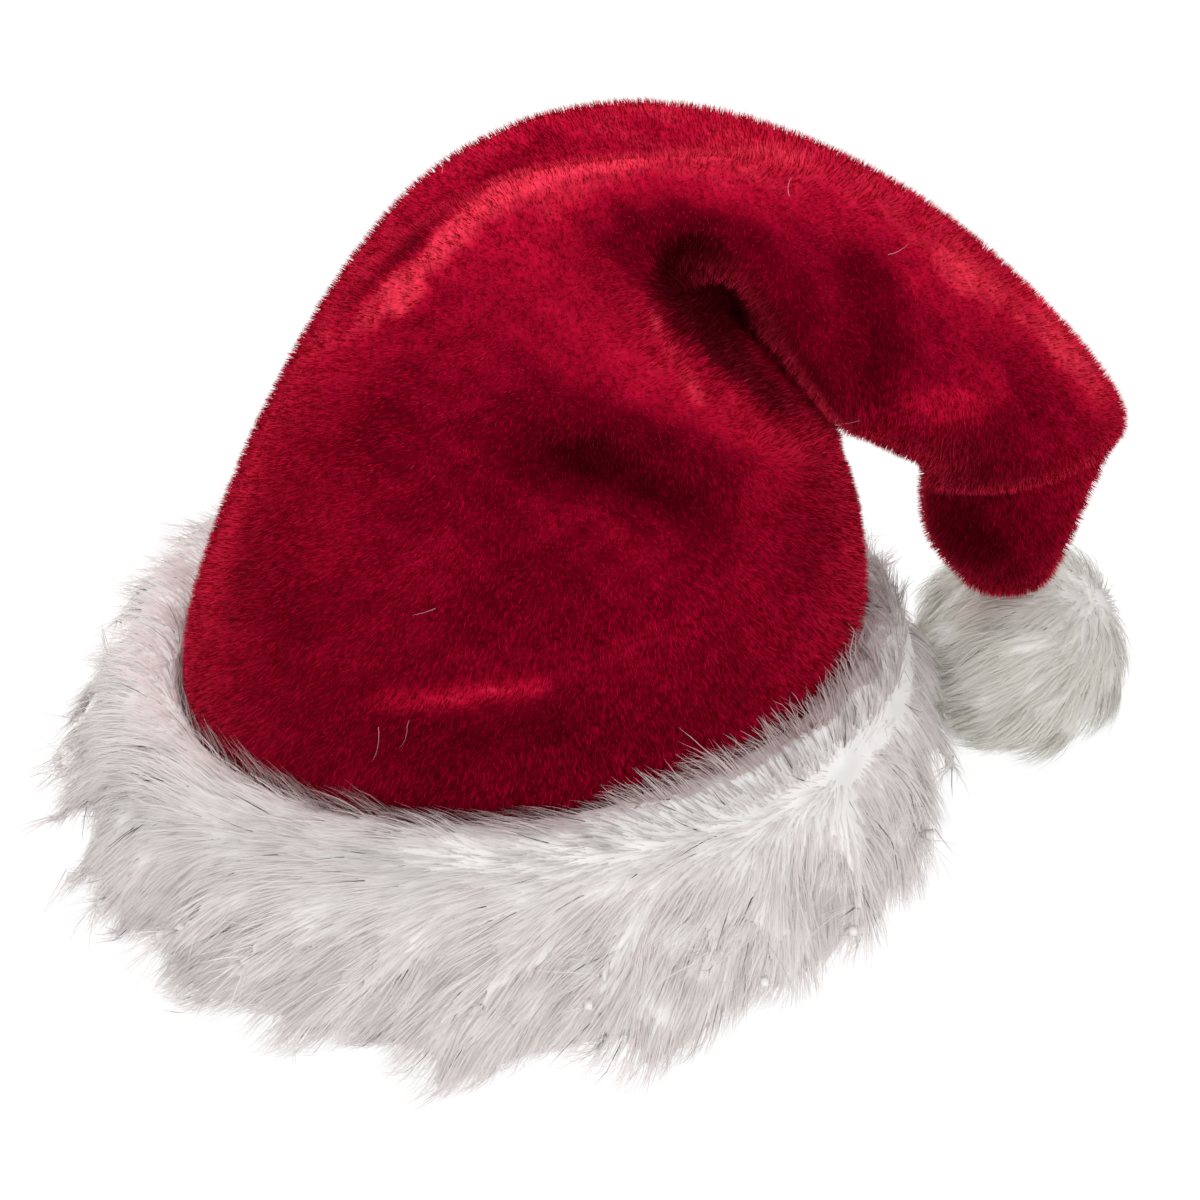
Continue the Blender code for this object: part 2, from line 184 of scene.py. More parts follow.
# How the cuff's fur is combed, by the angle round the head opening: 0 is the hat's left, 90 its front, 180 its
# right and 270 its back. low is the way it lies under the parting and high the way it lies over it. stand is how
# far it stands off, long its length, parting how sharply it parts along the roll and clump how it locks together.
Comb = namedtuple("Comb", "name angle low high stand_low stand_high long_low long_high parting clump")
CUFF_COMB = (
    Comb("left", 0, (-1.0, -0.10, -0.40), (-1.0, 0.30, 0.05), 0.32, 0.36, 0.017, 0.017, 0.0, 0.10),
    Comb("front_left", 40, (-1.0, -0.25, -0.42), (-0.62, 0.45, 0.60), 0.30, 0.42, 0.021, 0.022, 0.05, 0.22),
    Comb("front_near", 68, (-0.95, -0.1, -0.50), (-0.80, 0.30, 0.42), 0.30, 0.36, 0.025, 0.020, 0.30, 0.45),
    Comb("front", 92, (-0.85, 0.0, -0.62), (-1.0, 0.08, 0.12), 0.28, 0.26, 0.025, 0.018, 0.6, 0.55),
    Comb("front_mid", 112, (-0.72, 0.0, -0.78), (-0.9, 0.10, 0.35), 0.28, 0.30, 0.024, 0.019, 0.9, 0.55),
    Comb("front_right", 135, (-0.40, 0.0, -0.95), (-0.45, 0.10, 0.85), 0.30, 0.32, 0.023, 0.022, 1.0, 0.55),
    Comb("right_front", 160, (-0.02, -0.05, -1.0), (-0.12, 0.0, 1.0), 0.34, 0.32, 0.021, 0.023, 1.0, 0.45),
    Comb("right", 180, (0.15, -0.1, -1.0), (0.0, 0.1, 1.0), 0.36, 0.30, 0.019, 0.020, 1.0, 0.40),
    Comb("back_right", 225, (0.2, 0.2, -1.0), (0.0, 0.0, 1.0), 0.36, 0.22, 0.022, 0.012, 0.8, 0.40),
    Comb("back", 270, (-0.3, 0.2, -1.0), (-0.3, 0.0, 1.0), 0.32, 0.20, 0.019, 0.012, 0.6, 0.35),
    Comb("back_left", 315, (-0.7, 0.4, -0.6), (-0.8, 0.3, 0.0), 0.26, 0.10, 0.016, 0.011, 0.1, 0.10),
)
# How strands lock together: the spacing of the locks, how hard they pull and what is added to the seed
Clump = namedtuple("Clump", "spacing pull seed")
CUFF_CLUMPS = (Clump(0.0040, 0.60, 10), Clump(0.0120, 0.30, 20))
PARTING_HEIGHT = 0.84
ROLL_BAND_HEIGHT = 0.93
ROLL_BAND_WIDTH = 0.060
ROLL_BAND_SHORTER = 0.45
GROOVE_HEIGHT = 0.855
GROOVE_WIDTH = 0.030
GROOVE_DEPTH = 0.0012
BROW_LOWERED = 0.92
# The zone beside the crown's wall, where the fur takes painted red bounce light and stands up more, fades out
# over this distance
BESIDE_CROWN_WIDTH = 0.016
# How much painted shade the roll's short band takes
BAND_SHADE = 0.75
CUFF_LENGTHS = (0.70, 1.08)
CUFF_LENGTH_DRIFT = Drift(0.02, 0.16, 15)
CUFF_SWIRL = (Drift(0.055, 0.20, 12), Drift(0.018, 0.10, 13))
TONE_DRIFT = Drift(0.012, 0.2, 17)
BESIDE_CROWN_RISE = 0.8

# The pompom's fur lies away from this whorl
POMPOM_WHORL = np.array([0.176, 0.052, 0.060])
POMPOM_LONG = 0.019
# Painted red bounce light on the pompom fades out over this distance from the crown
POMPOM_RED_BOUNCE_WIDTH = 0.012
POMPOM_LENGTHS = (0.7, 1.1)
POMPOM_LENGTH_DRIFT = Drift(0.02, 0.2, 23)
POMPOM_SWIRL = (Drift(0.035, 0.35, 21), Drift(0.012, 0.18, 22))
POMPOM_CLUMP = Clump(0.0060, 0.5, 10)


# Numbers and fields


def unit(v):
    return v / np.maximum(np.linalg.norm(v, axis=-1, keepdims=True), 1e-9)


def dot(a, b):
    return np.sum(a * b, axis=-1, keepdims=True)


def soft_step(x):
    x = np.clip(x, 0.0, 1.0)
    return x * x * (3 - 2 * x)


def waves(points, scale, seed):
    """A smooth random field of three numbers at each point, about -1 to 1, with features of size scale."""
    draw = np.random.default_rng(seed)
    total = np.zeros((len(points), 3))
    for octave, share in ((1.0, 0.6), (2.1, 0.3), (4.3, 0.15)):
        for _ in range(4):
            ways = unit(draw.normal(size=(3, 3))) * (2 * math.pi * octave / scale)
            total += share * 0.6 * np.sin(points @ ways.T + draw.uniform(0, 2 * math.pi, 3))
    return total


def drift(points, row):
    return row.strength * waves(points, row.size, row.seed)


def around(rows, column, angles):
    """A column of a table by angle, blended smoothly round the circle. A column of places gives places."""
    turns = np.append([row.angle for row in rows], 360.0)
    values = np.array([getattr(row, column) for row in rows], float).reshape(len(rows), -1)
    values = np.concatenate([values, values[:1]])
    blended = np.stack([np.interp(angles % 360.0, turns, part) for part in values.T], axis=1)
    return blended if blended.shape[1] > 1 else blended[:, 0]


def tone_and_painted_light_at(points, normals):
    """How much darker or brighter the pile is painted at each point: 0.5 is its usual look, 0 and 1 the extremes.
    Pile that faces up gets painted light, and pile that faces down painted shade."""
    total = np.full(len(points), PILE_TONE_USUAL)
    for row in PILE_TONE_DRIFTS:
        total += drift(points, row)[:, 0]
    # painted light on pile that faces up, painted shade on pile that faces down
    total += PAINTED_TOP_LIGHT * soft_step((normals[:, 2] - 0.22) / 0.6)
    total -= PAINTED_UNDER_SHADE * soft_step(-normals[:, 2] / 0.5)
    mottle = 1 + drift(points, HIGHLIGHT_MOTTLE)[:, 0]
    # painted shade and painted highlights from the table of patches
    for row in PAINTED_PATCHES:
        start, end = np.array(row.start), np.array(row.end)
        run = end - start
        share = np.clip((points - start) @ run / (run @ run), 0, 1)[:, None]
        away = np.linalg.norm(points - start - share * run, axis=1)
        near = np.exp(-((away / row.radius) ** 2))
        total += row.change * near * (mottle if row.change > 0 else 1.0)
    return np.clip(total, 0, 1)


# Meshes


def node_copy(node, name):
    """A welded copy of a CAD node's mesh, as a new object."""
    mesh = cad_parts[node].data.copy()
    mesh.name = name
    work = bmesh.new()
    work.from_mesh(mesh)
    bmesh.ops.remove_doubles(work, verts=work.verts, dist=1e-5)
    bmesh.ops.join_triangles(
        work, faces=work.faces, angle_face_threshold=1.2, angle_shape_threshold=1.2
    )
    work.to_mesh(mesh)
    work.free()
    mesh.materials.clear()
    made = bpy.data.objects.new(name, mesh)
    bpy.context.scene.collection.objects.link(made)
    return made


def with_modifiers(obj):
    """Replaces an object's mesh by the one its modifiers make."""
    bpy.context.view_layer.update()
    graph = bpy.context.evaluated_depsgraph_get()
    mesh = bpy.data.meshes.new_from_object(obj.evaluated_get(graph))
    obj.modifiers.clear()
    obj.data = mesh
    return mesh


def read_mesh(mesh):
    """Points, point normals and triangles of a mesh, with the material index of each triangle."""
    mesh.calc_loop_triangles()
    points = np.empty(len(mesh.vertices) * 3)
    mesh.vertices.foreach_get("co", points)
    normals = np.empty(len(mesh.vertices) * 3)
    mesh.vertices.foreach_get("normal", normals)
    corners = np.empty(len(mesh.loop_triangles) * 3, np.int32)
    mesh.loop_triangles.foreach_get("vertices", corners)
    slots = np.empty(len(mesh.loop_triangles), np.int32)
    mesh.loop_triangles.foreach_get("material_index", slots)
    return points.reshape(-1, 3), normals.reshape(-1, 3), corners.reshape(-1, 3), slots


def number_at_points(mesh, label, values):
    layer = mesh.attributes.new(label, "FLOAT", "POINT")
    layer.data.foreach_set("value", values.astype(np.float32))


def scatter(points, normals, triangles, count, draw):
    """Random places on the triangles, evenly by area, with the smooth normal at each."""
    a, b, c = (points[triangles[:, k]] for k in range(3))
    area = np.linalg.norm(np.cross(b - a, c - a), axis=1)
    pick = draw.choice(len(triangles), size=count, p=area / area.sum())
    u, v = draw.random(count), draw.random(count)
    over = u + v > 1
    u[over], v[over] = 1 - u[over], 1 - v[over]
    shares = np.stack([1 - u - v, u, v], axis=1)[:, :, None]
    corners = triangles[pick]
    return (points[corners] * shares).sum(1), unit((normals[corners] * shares).sum(1))


def strands_object(name, paths, half_width, faces_way, normals, numbers, material):
    """One mesh of tapered flat strands. paths is (strands, points, 3), normals the shading normal at each point,
    faces_way the way each strand's flat side faces, numbers a value for each strand under each label."""
    count, steps = paths.shape[:2]
    along = unit(np.gradient(paths, axis=1))
    side = unit(np.cross(along, faces_way[:, None, :]))
    taper = np.linspace(1.0, 0.0, steps) ** 0.6
    reach = side[:, :-1] * (half_width * taper[:-1])[None, :, None]
    left, right = paths[:, :-1] - reach, paths[:, :-1] + reach
    body = np.stack([left, right], axis=2).reshape(count, -1, 3)
    verts = np.concatenate([body, paths[:, -1:]], axis=1)
    per = verts.shape[1]
    shading = np.repeat(normals[:, :-1], 2, axis=1)
    shading = np.concatenate([shading, normals[:, -1:]], axis=1)
    share = np.append(np.repeat(np.linspace(0, 1, steps)[:-1], 2), 1.0)

    starts = (np.arange(count) * per)[:, None]
    quads = [[2 * k, 2 * k + 1, 2 * k + 3, 2 * k + 2] for k in range(steps - 2)]
    tip = [2 * (steps - 2), 2 * (steps - 2) + 1, per - 1]
    pattern = np.array([i for quad in quads for i in quad] + tip)
    sizes = np.tile([4] * len(quads) + [3], count)

    mesh = bpy.data.meshes.new(name)
    mesh.vertices.add(count * per)
    mesh.vertices.foreach_set("co", verts.astype(np.float32).ravel())
    mesh.loops.add(count * len(pattern))
    mesh.loops.foreach_set("vertex_index", (starts + pattern).astype(np.int32).ravel())
    mesh.polygons.add(len(sizes))
    mesh.polygons.foreach_set("loop_start", np.append(0, np.cumsum(sizes)[:-1]).astype(np.int32))
    mesh.polygons.foreach_set("use_smooth", np.ones(len(sizes), bool))
    mesh.update(calc_edges=True)
    number_at_points(mesh, "along", np.tile(share, count))
    for label, values in numbers.items():
        number_at_points(mesh, label, np.repeat(values, per))
    mesh.normals_split_custom_set_from_vertices(unit(shading).reshape(-1, 3).tolist())
    mesh.materials.append(material)
    made = bpy.data.objects.new(name, mesh)
    bpy.context.scene.collection.objects.link(made)
    return made


def grown(roots, starts, ends, lengths, steps):
    """Paths that leave each root along starts and turn towards ends over their length."""
    paths = [roots]
    for k in range(steps - 1):
        turn = (k + 0.5) / (steps - 1)
        way = unit(starts * (1 - turn) + ends * turn)
        paths.append(paths[-1] + way * (lengths / (steps - 1))[:, None])
    return np.stack(paths, axis=1)


def clumped(paths, spacing, pull, seed, tightest=0.9):
    """Draws the strands of each small patch together towards their tips, by pull, a number for each strand."""
    draw = np.random.default_rng(seed)
    roots = paths[:, 0]
    grid = {}
    for i in draw.permutation(len(roots)):
        grid.setdefault(tuple(np.floor(roots[i] / spacing).astype(int)), i)
    guides = np.array(list(grid.values()))
    tree = KDTree(len(guides))
    for k, g in enumerate(guides):
        tree.insert(roots[g], k)
    tree.balance()
    nearest = np.array([tree.find(r)[1] for r in roots])
    guide_paths = paths[guides[nearest]]
    share = np.linspace(0, 1, paths.shape[1]) ** 1.4
    strength = pull * draw.uniform(0.4, 1.2, len(guides))[nearest]
    mix = np.minimum(share[None, :] * strength[:, None], tightest)[:, :, None]
    return paths * (1 - mix) + guide_paths * mix


def kept_out(paths, tree, clearance, near):
    """Pushes points that come within clearance of a surface back out along it, where near says to look."""
    for i in np.flatnonzero(near):
        for k in range(1, paths.shape[1]):
            place = Vector(paths[i, k])
            hit, normal, _, _ = tree.find_nearest(place)
            height = (place - hit).dot(normal)
            if height < clearance:
                paths[i, k] += np.array(normal) * (clearance - height)
    return paths


def kept_off_floor(paths, draw):
    lift = FLOOR_CLEARANCE + 0.0006 * draw.random((len(paths), 1))
    paths[:, :, 2] = np.maximum(paths[:, :, 2], lift)
    return paths


# Materials


def nodes_of(name):
    material = bpy.data.materials.new(name)
    material.use_nodes = True
    tree = material.node_tree
    return material, tree, tree.nodes["Principled BSDF"]


def add_node(tree, kind, **values):
    node = tree.nodes.new(kind)
    for key, value in values.items():
        node.inputs[key].default_value = value
    return node


def ramp(tree, source, stops):
    node = tree.nodes.new("ShaderNodeValToRGB")
    elements = node.color_ramp.elements
    for element, (place, color) in zip(elements, (stops[0], stops[-1])):
        element.position = place
        element.color = (*color, 1.0)
    for place, color in stops[1:-1]:
        elements.new(place).color = (*color, 1.0)
    tree.links.new(source, node.inputs["Fac"])
    return node.outputs["Color"]


def joined(tree, kind, factor, a, b):
    """Two colours mixed or multiplied. factor is a number or the output that gives it."""
    node = tree.nodes.new("ShaderNodeMix")
    node.data_type = "RGBA"
    node.blend_type = kind
    if isinstance(factor, float):
        node.inputs["Factor"].default_value = factor
    else:
        tree.links.new(factor, node.inputs["Factor"])
    colors = [s for s in node.inputs if s.type == "RGBA"]
    tree.links.new(a, colors[0])
    tree.links.new(b, colors[1])
    return next(s for s in node.outputs if s.type == "RGBA")


def noise(tree, scale):
    place = tree.nodes.new("ShaderNodeTexCoord")
    node = add_node(tree, "ShaderNodeTexNoise", Scale=scale, Detail=0.0)
    tree.links.new(place.outputs["Object"], node.inputs["Vector"])
    return node.outputs["Fac"]


def attribute(tree, name):
    node = tree.nodes.new("ShaderNodeAttribute")
    node.attribute_name = name
    return node.outputs["Fac"]


def grey(level):
    return (level, level, level)


# Colours of the pile by its tone and painted light, from painted shade at 0 to painted highlight at 1. The roots
# and the cloth under the pile are painted darker than the tips, as shade deep in the pile.
RED_TIPS = (
    (0.0, (0.012, 0.0, 0.0008)),
    (0.25, (0.26, 0.0, 0.015)),
    (0.5, (0.90, 0.0004, 0.052)),
    (0.75, (0.98, 0.010, 0.070)),
    (1.0, (1.0, 0.060, 0.115)),
)
RED_ROOTS = (
    (0.0, (0.001, 0.0, 0.0001)),
    (0.25, (0.030, 0.0, 0.002)),
    (0.5, (0.140, 0.0, 0.009)),
    (0.75, (0.480, 0.004, 0.032)),
    (1.0, (0.900, 0.040, 0.090)),
)


def as_velvet(shader):
    shader.inputs["Roughness"].default_value = 0.8
    shader.inputs["Specular IOR Level"].default_value = 0.0
    shader.inputs["Sheen Weight"].default_value = 1.0
    shader.inputs["Sheen Roughness"].default_value = 0.45
    shader.inputs["Sheen Tint"].default_value = (1.0, 0.03, 0.09, 1.0)


def red_pile_material():
    material, tree, shader = nodes_of("red_plush_pile")
    # root and tip colours by random tone and painted light and shade
    roots = ramp(tree, attribute(tree, "tone_and_painted_light"), RED_ROOTS)
    tips = ramp(tree, attribute(tree, "tone_and_painted_light"), RED_TIPS)
    # painted shade towards the roots of the pile
    root_shade = ramp(tree, attribute(tree, "along"), [(0.0, grey(0.0)), (0.5, grey(0.58)), (1.0, grey(1.0))])
    varied = ramp(tree, attribute(tree, "tone"), [(0.0, grey(0.78)), (1.0, grey(1.0))])
    color = joined(tree, "MULTIPLY", 1.0, joined(tree, "MIX", root_shade, roots, tips), varied)
    tree.links.new(color, shader.inputs["Base Color"])
    as_velvet(shader)
    return material


def red_cloth_material():
    material, tree, shader = nodes_of("red_plush_ground")
    # the cloth takes the roots' colours: painted shade at the foot of the pile
    painted_cloth_color = ramp(tree, attribute(tree, "tone_and_painted_light"), RED_ROOTS)
    grain = ramp(tree, noise(tree, 700.0), [(0.3, grey(0.7)), (0.7, grey(1.0))])
    tree.links.new(joined(tree, "MULTIPLY", 1.0, painted_cloth_color, grain), shader.inputs["Base Color"])
    as_velvet(shader)
    return material


def red_backing_material():
    """The knitted back of the plush, seen inside the hat."""
    material, tree, shader = nodes_of("red_knit_backing")
    place = tree.nodes.new("ShaderNodeTexCoord")
    rows = add_node(tree, "ShaderNodeTexWave", Scale=180.0, Distortion=1.2, Detail=1.0)
    rows.bands_direction = "Z"
    tree.links.new(place.outputs["Object"], rows.inputs["Vector"])
    color = ramp(tree, rows.outputs["Fac"], [(0.0, (0.24, 0.003, 0.018)), (1.0, (0.40, 0.008, 0.032))])
    tree.links.new(color, shader.inputs["Base Color"])
    shader.inputs["Roughness"].default_value = 0.85
    bump = add_node(tree, "ShaderNodeBump", Strength=0.5, Distance=0.0004)
    tree.links.new(rows.outputs["Fac"], bump.inputs["Height"])
    tree.links.new(bump.outputs["Normal"], shader.inputs["Normal"])
    return material


def fur_material(name, tips, roots):
    """Long fur: painted shade at its roots, painted red bounce light beside the red cloth and painted shade along
    the roll's short band.
    """
    material, tree, shader = nodes_of(name)
    middle = tuple(0.35 * r + 0.65 * t for r, t in zip(roots, tips))
    # painted shade towards the roots of the fur
    root_shade = ramp(tree, attribute(tree, "along"), [(0.0, roots), (0.4, middle), (1.0, tips)])
    varied = ramp(tree, attribute(tree, "tone"), [(0.0, grey(0.94)), (1.0, grey(1.0))])
    # painted red bounce light from the crown on the white fur
    red_bounce = ramp(tree, attribute(tree, "red_bounce"), [(0.0, grey(1.0)), (1.0, (0.97, 0.80, 0.82))])
    # painted shade along the roll's short band
    shade = ramp(tree, attribute(tree, "shade"), [(0.0, grey(1.0)), (1.0, grey(0.55))])
    color = joined(tree, "MULTIPLY", 1.0, joined(tree, "MULTIPLY", 1.0, root_shade, varied), red_bounce)
    color = joined(tree, "MULTIPLY", 1.0, color, shade)
    tree.links.new(color, shader.inputs["Base Color"])
    shader.inputs["Roughness"].default_value = 0.55
    shader.inputs["Specular IOR Level"].default_value = 0.2
    through = tree.nodes.new("ShaderNodeBsdfTranslucent")
    tree.links.new(color, through.inputs["Color"])
    mix = tree.nodes.new("ShaderNodeMixShader")
    mix.inputs["Fac"].default_value = 0.45
    tree.links.new(shader.outputs["BSDF"], mix.inputs[1])
    tree.links.new(through.outputs["BSDF"], mix.inputs[2])
    tree.links.new(mix.outputs["Shader"], tree.nodes["Material Output"].inputs["Surface"])
    return material


def white_ground_material():
    material, tree, shader = nodes_of("white_fur_ground")
    # The ground is painted a little darker than the hair, as shade under the hair; its noise is grain.
    color = ramp(tree, noise(tree, 120.0), [(0.3, (0.70, 0.685, 0.675)), (0.7, (0.78, 0.765, 0.755))])
    tree.links.new(color, shader.inputs["Base Color"])
    shader.inputs["Roughness"].default_value = 0.9
    return material


# The crown


def mark_outer_side(mesh):
    """Puts material 1 on the faces of the crown's outer skin, and 0 on its inner skin and the hem's edge."""
    work = bmesh.new()
    work.from_mesh(mesh)
    rim = {f for f in work.faces if f.normal.z < -0.7 and max(v.co.z for v in f.verts) < HEM_RIM_Z}
    waiting = set(work.faces) - rim
    skins = []
    while waiting:
        skin, front = [], [waiting.pop()]
        while front:
            face = front.pop()
            skin.append(face)
            beside = {near for edge in face.edges for near in edge.link_faces} & waiting
            waiting -= beside
            front.extend(beside)
        skins.append(skin)
    outer = max(skins, key=lambda skin: sum(f.calc_area() for f in skin))
    for face in work.faces:
        face.material_index = 0
    for face in outer:
        face.material_index = 1
    work.to_mesh(mesh)
    work.free()


def keep_places(obj):
    """Moves the points of a mesh so that its rounded form passes close to where they were."""
    wanted, _, _, _ = read_mesh(obj.data)
    bpy.context.view_layer.update()
    rounded = obj.evaluated_get(bpy.context.evaluated_depsgraph_get()).to_mesh()
    reached, _, _, _ = read_mesh(rounded)
    moved = wanted + PLACES_KEPT * (wanted - reached[: len(wanted)])
    obj.data.vertices.foreach_set("co", moved.astype(np.float32).ravel())
    obj.data.update()


def make_crown():
    cloth = node_copy("crown", "crown_cloth")
    cloth.data.materials.append(red_backing_material())
    cloth.data.materials.append(red_cloth_material())
    mark_outer_side(cloth.data)
    rounder = cloth.modifiers.new("rounder", "SUBSURF")
    rounder.levels = rounder.render_levels = CLOTH_ROUNDING
    keep_places(cloth)
    mesh = with_modifiers(cloth)
    mesh.shade_smooth()
    points, normals, triangles, slots = read_mesh(mesh)
    outer = np.zeros(len(points), bool)
    outer[triangles[slots == 1].ravel()] = True
    points[outer] -= normals[outer] * CLOTH_INSET
    mesh.vertices.foreach_set("co", points.astype(np.float32).ravel())
    mesh.update()
    # random tone and painted light and shade on the cloth under the pile
    number_at_points(mesh, "tone_and_painted_light", tone_and_painted_light_at(points, normals))
    return cloth


def make_pile(cloth):
    points, normals, triangles, slots = read_mesh(cloth.data)
    middle_z = points[triangles, 2].mean(1)
    shown = triangles[(slots == 1) & (middle_z > PILE_LOWEST_Z)]
    material = red_pile_material()
    made = []
    for k in range(PILE_PIECES):
        draw = np.random.default_rng(40 + k)
        roots, out = scatter(points, normals, shown, PILE_STRANDS, draw)
        nap = np.array(PILE_COMB)
        for row in PILE_DRIFTS:
            nap = nap + drift(roots, row)
        nap = unit(nap - out * dot(nap, out))
        way = unit(out + nap * PILE_LEAN + draw.normal(size=roots.shape) * PILE_SPREAD)
        lengths = PILE_LENGTH * draw.uniform(*PILE_LENGTHS, len(roots))
        paths = np.stack([roots - out * PILE_ROOT_DEPTH, roots + way * lengths[:, None]], axis=1)
        shade = unit(out + draw.normal(size=out.shape) * PILE_SHADE_SPREAD)
        shading = np.stack([shade, unit(shade + way * 0.3)], axis=1)
        face = unit(np.cross(way, draw.normal(size=out.shape)))
        # random tone and painted light and shade on each strand of the pile
        numbers = {"tone": draw.random(len(roots)), "tone_and_painted_light": tone_and_painted_light_at(roots, out)}
        made.append(
            strands_object(f"crown_pile_{k + 1}", paths, PILE_HALF_WIDTH, face, shading, numbers, material)
        )
    return made


# The white fur


def make_fur_ground(node, name, material):
    """A soft closed form under the fur: the CAD piece, remeshed, smoothed and drawn in a little."""
    ground = node_copy(node, name)
    remesh = ground.modifiers.new("remesh", "REMESH")
    remesh.mode = "VOXEL"
    remesh.voxel_size = FUR_VOXEL
    with_modifiers(ground)
    smooth = ground.modifiers.new("smooth", "SMOOTH")
    smooth.factor = 0.5
    smooth.iterations = FUR_SMOOTHING
    if node == "fur_cuff":
        points, _, _, _ = read_mesh(ground.data)
        angles, _ = cuff_places(points)
        kept = np.exp(-(((angles - TUFTS_MIDDLE) / TUFTS_WIDTH) ** 4)) * (points[:, 2] < TUFTS_TOP_Z)
        group = ground.vertex_groups.new(name="smoothed")
        for level in np.unique(np.round(1 - TUFTS_KEPT * kept, 1)):
            chosen = np.flatnonzero(np.round(1 - TUFTS_KEPT * kept, 1) == level)
            group.add(chosen.tolist(), float(level), "REPLACE")
        smooth.vertex_group = "smoothed"
    mesh = with_modifiers(ground)
    points, normals, _, _ = read_mesh(mesh)
    points -= normals * FUR_INSET
    if node == "fur_cuff":
        angles, height = cuff_places(points)
        points[:, 2] *= 1 - BROW_LOWERED * np.maximum(height - 1, 0) / height
        groove = np.exp(-(((height - GROOVE_HEIGHT) / GROOVE_WIDTH) ** 2)) * around(CUFF_COMB, "parting", angles)
        facing_out = soft_step(dot(normals, radial_at(points))[:, 0] * 2)
        points -= normals * (GROOVE_DEPTH * groove * facing_out)[:, None]
    points[:, 2] = np.maximum(points[:, 2], FLOOR_CLEARANCE)
    mesh.vertices.foreach_set("co", points.astype(np.float32).ravel())
    mesh.update()
    mesh.shade_smooth()
    mesh.materials.clear()
    mesh.materials.append(material)
    return ground


def gap_to(tree, points, most=0.02):
    """The signed height of each point over a surface, up to most."""
    heights = np.full(len(points), most)
    for i, p in enumerate(points):
        hit, normal, _, _ = tree.find_nearest(Vector(p), most)
        if hit is not None:
            heights[i] = (Vector(p) - hit).dot(normal)
    return heights


def cuff_places(points):
    """The angle round the head opening and the height as a share of the roll's, for each point."""
    offset = points - CROWN_MIDDLE
    turns = np.arctan2(-offset[:, 1] / CROWN_HALF[1], -offset[:, 0] / CROWN_HALF[0])
    angles = np.degrees(turns) % 360
    return angles, points[:, 2] / around(ROLL_TOPS, "top", angles)


def radial_at(points):
    radial = np.zeros_like(points)
    radial[:, :2] = (points - CROWN_MIDDLE)[:, :2] / CROWN_HALF**2
    return unit(radial)


def fur_shading(paths, out, draw):
    """Normals for strands: out from the surface, turned a little across the strand and by chance."""
    along = unit(np.gradient(paths, axis=1))
    way = out[:, None, :] + draw.normal(size=(len(out), 1, 3)) * 0.10
    across = way - along * dot(way, along)
    return unit(across * 0.5 + way * 0.5)


def cuff_strands(name, count, seed, shown, surface, crown_tree, material, under):
    """Fur on the cuff, combed by the table. The under fur is short, straight and dense."""
    draw = np.random.default_rng(seed)
    roots, out = scatter(*surface, shown, count, draw)
    angles, height = cuff_places(roots)
    parting = around(CUFF_COMB, "parting", angles)
    softness = 0.28 * (1 - parting) + 0.07
    above = soft_step((height - PARTING_HEIGHT + softness) / (2 * softness))[:, None]
    low, high = (unit(around(CUFF_COMB, way, angles)) for way in ("low", "high"))
    stand = [around(CUFF_COMB, way, angles)[:, None] for way in ("stand_low", "stand_high")]
    stand = stand[0] * (1 - above) + stand[1] * above
    wall_gap = (np.linalg.norm((roots - CROWN_MIDDLE)[:, :2] / CROWN_HALF, axis=1) - 1) * CROWN_HALF.mean()
    beside = 1 - soft_step(wall_gap / BESIDE_CROWN_WIDTH)
    stand += (BESIDE_CROWN_RISE * beside * (1 - parting))[:, None]
    long = [around(CUFF_COMB, way, angles) for way in ("long_low", "long_high")]
    long = long[0] * (1 - above[:, 0]) + long[1] * above[:, 0]

    swirl = sum(drift(roots, row) for row in CUFF_SWIRL)
    under_turn = -UP * (0.4 * (1 - np.clip(height, 0, 1)))[:, None]
    flow = low * (1 - above) + high * above + under_turn + swirl
    flow = unit(flow - out * dot(flow, out))
    start = unit(out * stand * 1.3 + flow + draw.normal(size=out.shape) * 0.09)
    droop = -UP * (0.25 * (1 - above))
    end = unit(out * stand * 0.3 + flow + droop + draw.normal(size=out.shape) * 0.15)

    band = np.exp(-(((height - ROLL_BAND_HEIGHT) / ROLL_BAND_WIDTH) ** 2)) * parting
    length = long * (1 - ROLL_BAND_SHORTER * band) * (1 + drift(roots, CUFF_LENGTH_DRIFT)[:, 0])
    length *= draw.uniform(*CUFF_LENGTHS, count)
    if under:
        paths = grown(roots - out * UNDER_ROOT_DEPTH, start, end, length * UNDER_SHARE, 2)
    else:
        paths = grown(roots - out * ROOT_DEPTH, start, end, length, 4)
        clump = around(CUFF_COMB, "clump", angles)
        for row in CUFF_CLUMPS:
            paths = clumped(paths, row.spacing, clump * row.pull, seed + row.seed)
    near = (above[:, 0] > 0.3) | (wall_gap < 0.012)
    paths = kept_off_floor(kept_out(paths, crown_tree, CROWN_CLEARANCE, near), draw)
    face = unit(out + draw.normal(size=out.shape) * 0.5)
    numbers = {
        "tone": np.clip(draw.random(count) + drift(roots, TONE_DRIFT)[:, 0], 0, 1),
        # painted red bounce light beside the crown
        "red_bounce": beside,
        # painted shade along the roll's short band
        "shade": BAND_SHADE * band,
    }
    width = UNDER_HALF_WIDTH if under else FUR_HALF_WIDTH
    return strands_object(name, paths, width, face, fur_shading(paths, out, draw), numbers, material)


